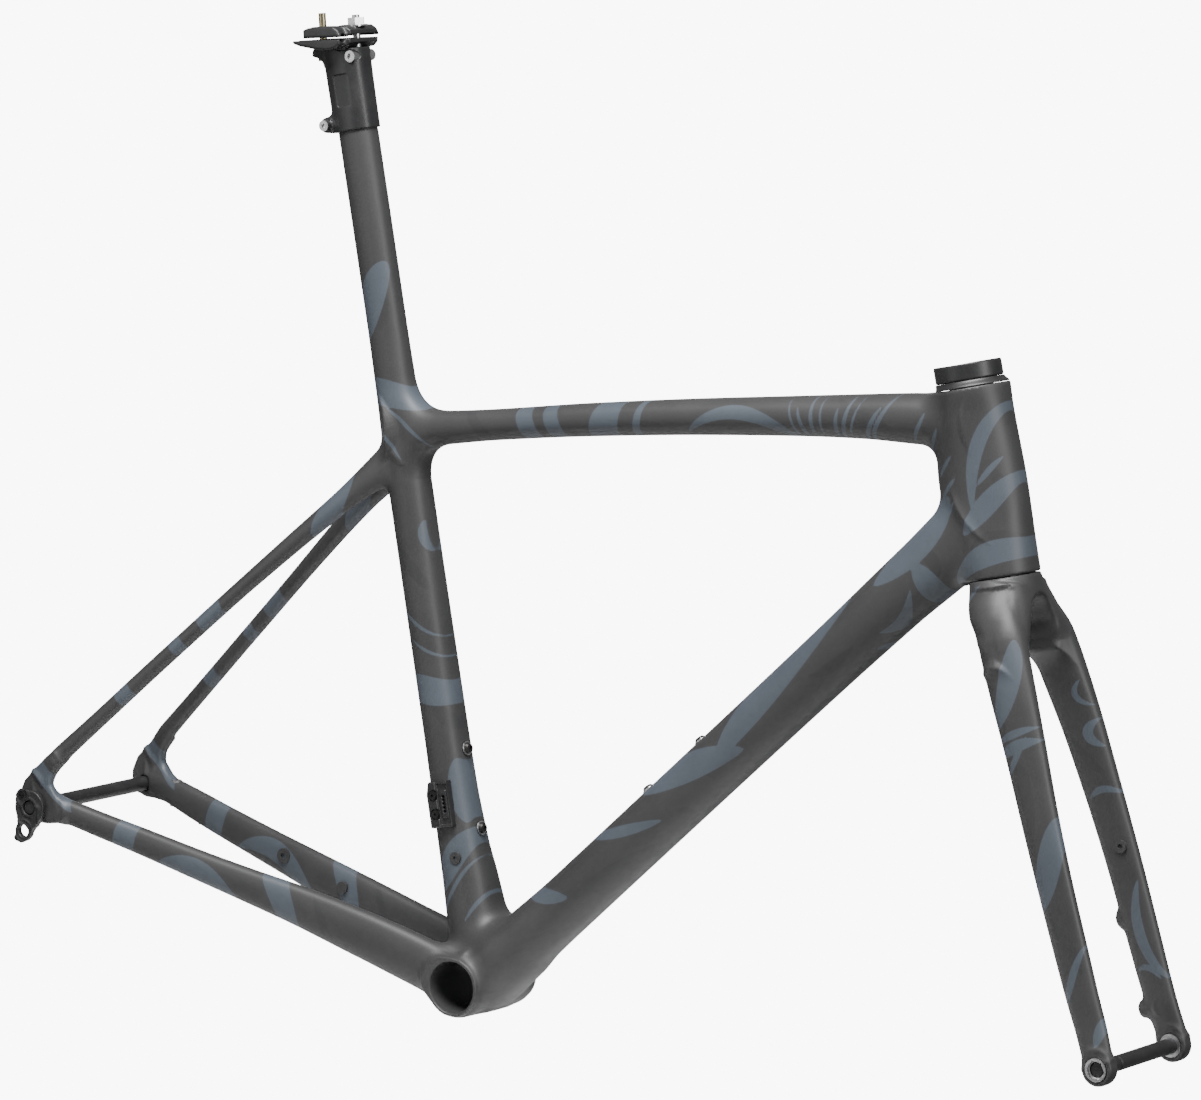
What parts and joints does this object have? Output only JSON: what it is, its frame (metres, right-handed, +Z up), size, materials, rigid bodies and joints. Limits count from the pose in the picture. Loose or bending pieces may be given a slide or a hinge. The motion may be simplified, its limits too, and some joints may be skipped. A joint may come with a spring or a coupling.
{
  "type": "bicycle frame and fork set",
  "caption": "Carbon road bicycle frame with integrated seat mast, disc-brake fork, headset, through-axles and a saddle rail clamp on the mast.",
  "frame": {"origin": "centre of the bottom bracket bore, on the frame's centre plane", "axes": "+X forward, +Y to the rider's left along the bottom bracket, +Z up with both axles level"},
  "size_m": [1.0203, 0.1714, 0.7691],
  "materials": {
    "carbon": null,
    "raw_carbon": "bare carbon fibre",
    "black_alloy": "black anodised, bead blasted",
    "black_steel": "black oxide steel",
    "alloy": "clear anodised",
    "steel": "ground steel",
    "olive_steel": "yellow passivated steel",
    "rubber": "moulded rubber"
  },
  "bodies": {
    "frame": {"head_tube": "carbon", "top_tube": "carbon", "down_tube": "carbon", "seat_tube": "carbon", "bottom_bracket_shell": "carbon", "chainstay_right": "carbon", "chainstay_left": "carbon", "seatstay_right": "carbon", "seatstay_left": "carbon", "dropout_right": "carbon", "dropout_left": "carbon", "derailleur_hanger": "black_alloy", "hanger_screw": "black_steel", "front_derailleur_mount": "black_alloy", "derailleur_mount_bolts": "black_steel", "derailleur_wire_grommet": "rubber", "bottle_rivnuts": "alloy", "bottle_washers": "alloy", "bottle_bolts": "black_steel", "brake_mount_inserts": "alloy", "chainstay_hose_grommet": "rubber", "chainstay_plug": "rubber", "lower_bearing": "black_steel", "upper_bearing": "steel", "rear_axle_washer": "alloy"},
    "fork": {"steerer_tube": "raw_carbon", "fork_crown": "carbon", "fork_blade_right": "carbon", "fork_blade_left": "carbon", "fork_brake_inserts": "alloy", "fork_thread_insert": "alloy", "fork_axle_bush": "alloy", "fork_hose_grommet": "rubber", "crown_race": "black_steel", "compression_ring": "black_alloy", "headset_flare_ring": "black_alloy", "headset_cover": "black_alloy"},
    "front_axle": {"front_axle": "black_alloy"},
    "rear_axle": {"rear_axle": "black_alloy"},
    "clamp_head": {"seat_clamp_body": "black_alloy", "barrel_nut": "steel", "pinch_bolt": "steel", "pinch_nut": "steel", "rear_clamp_bolt": "olive_steel"},
    "cradle": {"lower_cradle": "black_alloy", "upper_clamp": "black_alloy", "front_clamp_bolt": "steel", "front_clamp_washer": "steel", "front_clamp_nut": "steel"}
  },
  "joints": [
    {"name": "steering", "type": "hinge", "parent": "frame", "child": "fork", "pos_m": [0.41256, 0, 0.47386], "axis": [-0.309, 0, 0.9511], "continuous": true},
    {"name": "front_axle_draw", "type": "slide", "parent": "fork", "child": "front_axle", "axis": [0, 1, 0], "range_m": [0, 0.125]},
    {"name": "rear_axle_draw", "type": "slide", "parent": "frame", "child": "rear_axle", "axis": [0, 1, 0], "range_m": [0, 0.17]},
    {"name": "mast_height", "type": "slide", "parent": "frame", "child": "clamp_head", "axis": [-0.2823, 0, 0.9593], "range_m": [0, 0.03]},
    {"name": "saddle_tilt", "type": "hinge", "parent": "clamp_head", "child": "cradle", "pos_m": [-0.20589, 0, 0.72434], "axis": [0, 1, 0], "range_deg": [-5, 5]}
  ]
}
